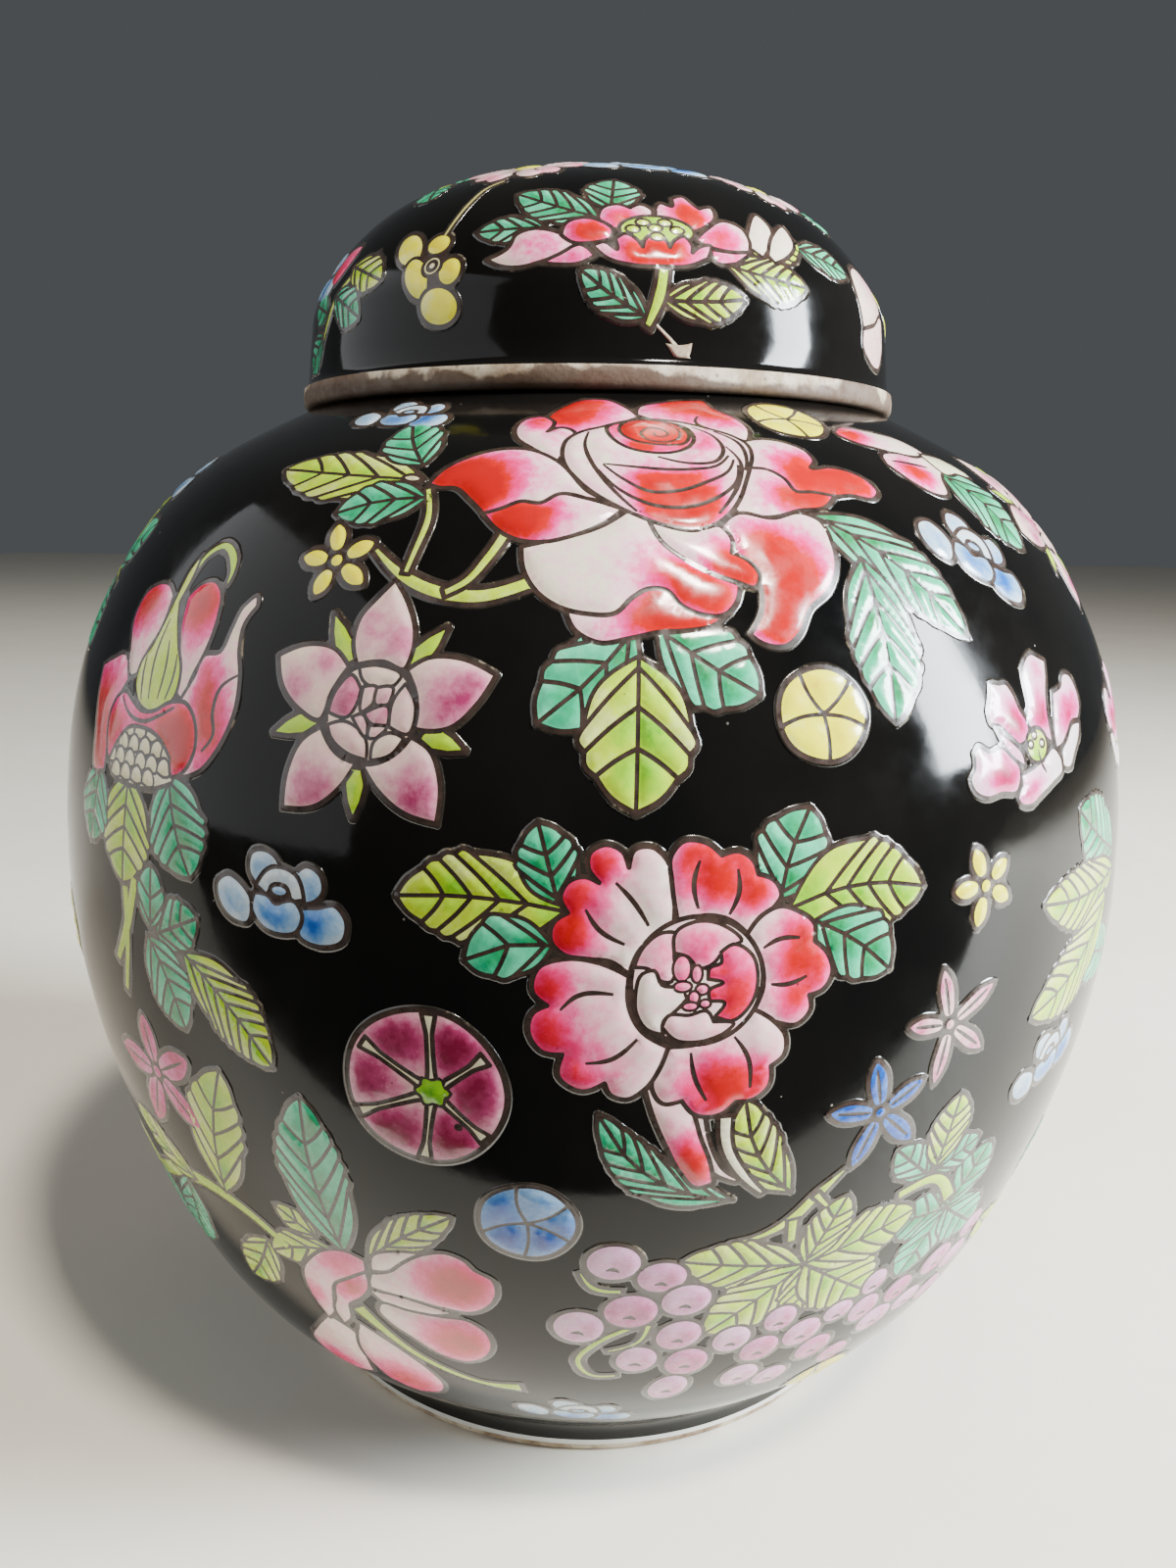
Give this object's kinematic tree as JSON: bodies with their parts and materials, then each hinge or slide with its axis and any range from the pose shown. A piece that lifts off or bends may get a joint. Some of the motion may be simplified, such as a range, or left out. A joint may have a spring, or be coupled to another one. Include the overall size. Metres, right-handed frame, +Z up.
{
  "type": "ginger jar",
  "caption": "Globular glazed porcelain ginger jar on a foot ring, with a short neck and a loose domed cap lid that lifts off; raised enamel flowers on a black ground.",
  "frame": {"origin": "centre of the foot ring's ground face, on the surface the jar stands on", "axes": "+Z up along the jar's axis of revolution; the jar is round, and -Y is the side with the large peony and the rose"},
  "size_m": [0.1354, 0.1354, 0.151],
  "materials": {
    "black_glaze": "gloss black glaze, white glaze inside and on the foot ring",
    "lid_black_glaze": "gloss black glaze, bare biscuit lip, white glaze inside",
    "petal_enamel": "opaque gloss enamel, raised, shaded from near white to pink, lilac, blue or red",
    "leaf_enamel": "opaque gloss enamel, raised, shaded from cream to lime or jade green",
    "line_enamel": "thin dark brown painted outline, satin"
  },
  "bodies": {
    "jar": {"jar_body": "black_glaze"},
    "lid": {"lid": "lid_black_glaze"}
  },
  "joints": [
    {"name": "lid_lift", "type": "slide", "parent": "jar", "child": "lid", "axis": [0, 0, 1], "range_m": [0, 0.08]}
  ]
}
